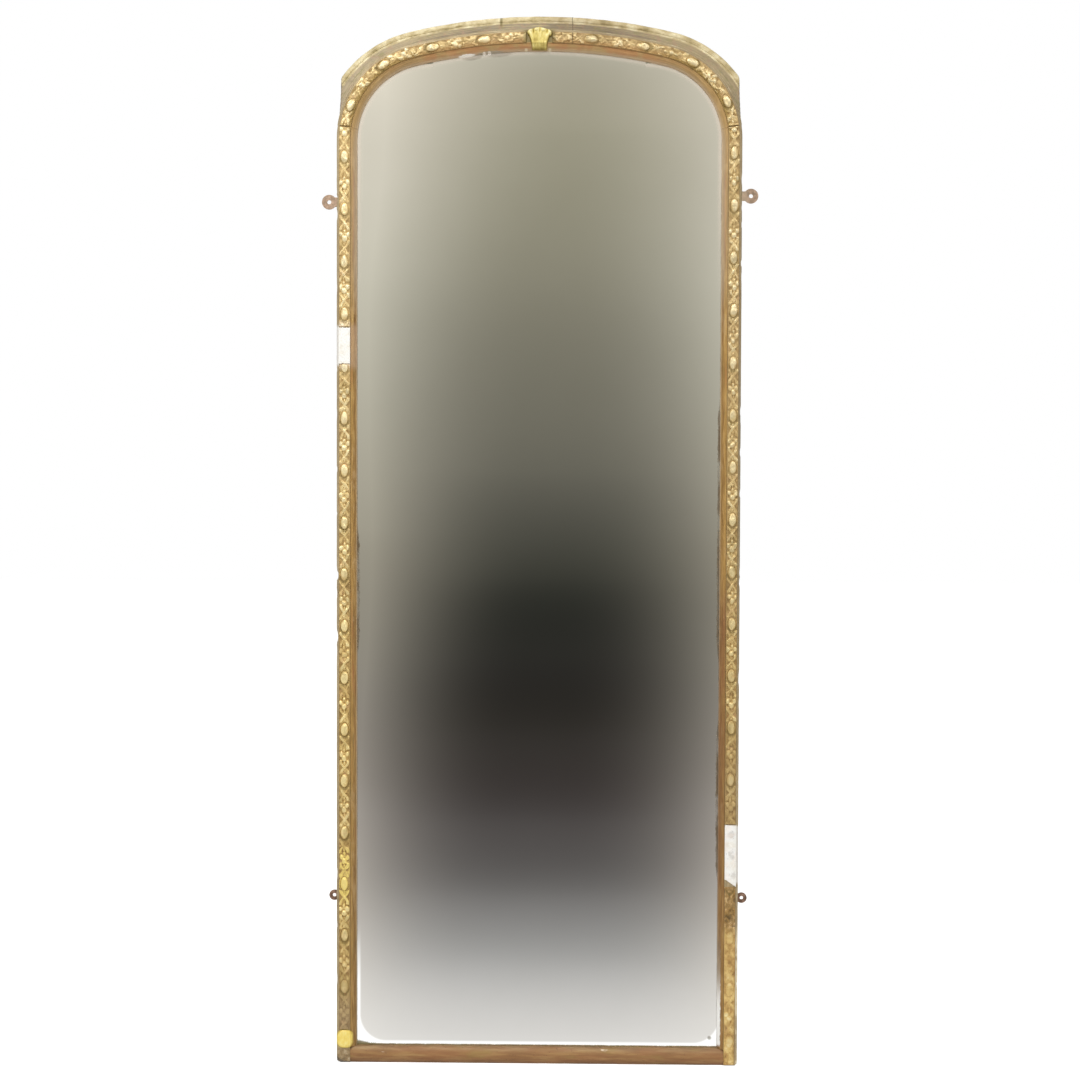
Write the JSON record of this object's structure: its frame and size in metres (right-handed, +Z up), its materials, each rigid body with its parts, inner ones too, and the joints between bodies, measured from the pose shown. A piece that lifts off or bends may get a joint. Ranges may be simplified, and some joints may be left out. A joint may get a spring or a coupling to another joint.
{
  "type": "pier mirror",
  "caption": "Tall arched pier mirror: gilded moulded wood frame with running ornament, cove cornice, plate glass, boarded back and screw plates for a wall.",
  "frame": {"origin": "centre of the bounding box's underside: on the plane the foot stands on, midway across and midway through the depth", "axes": "+Z up the mirror, +X to the viewer's right, +Y towards the wall; the glass faces -Y"},
  "size_m": [0.745, 0.076, 1.773],
  "materials": {
    "worn_gilding": "rubbed gilding over gesso",
    "worn_bole": "worn red bole and copper-brown gilding",
    "pine": "old unfinished softwood",
    "dirty_gilding": "gilding under grey-brown dirt",
    "gilt_ornament": "water-gilded cast composition, rubbed, dirt in the hollows",
    "new_gilding": "bright later gilding",
    "plaster": "bare white plaster fill",
    "mirror": "silvered plate glass, lightly foxed at the edges",
    "steel": "dull, slightly rusted",
    "brass": "dull brown patina"
  },
  "bodies": {
    "root": {"stile_left": "worn_gilding", "stile_right": "worn_gilding", "bottom_rail": "worn_bole", "arch_front_left": "worn_gilding", "arch_front_right": "worn_gilding", "arch_rear_left": "pine", "arch_rear_crown": "pine", "arch_rear_right": "pine", "cornice_left": "dirty_gilding", "cornice_right": "dirty_gilding", "slip_left": "worn_bole", "slip_right": "worn_bole", "slip_arch_left": "worn_bole", "slip_arch_right": "worn_bole", "ornament_left_lower": "gilt_ornament", "ornament_left_upper": "gilt_ornament", "ornament_right_lower": "gilt_ornament", "ornament_right_upper": "gilt_ornament", "ornament_arch_left": "gilt_ornament", "ornament_arch_right": "gilt_ornament", "crown_leaf": "new_gilding", "foot_boss": "new_gilding", "plaster_fill_left": "plaster", "plaster_fill_right": "plaster", "mirror_plate": "mirror", "glazing_blocks": "pine", "setting_blocks": "pine", "backboard_left": "pine", "backboard_centre": "pine", "backboard_right": "pine", "cross_batten_lower": "pine", "cross_batten_upper": "pine", "arch_dowels": "pine", "board_nails": "steel", "plate_screws": "steel", "hanging_plate_upper_left": "brass", "hanging_plate_upper_right": "brass", "hanging_plate_lower_left": "brass", "hanging_plate_lower_right": "brass"}
  },
  "joints": []
}
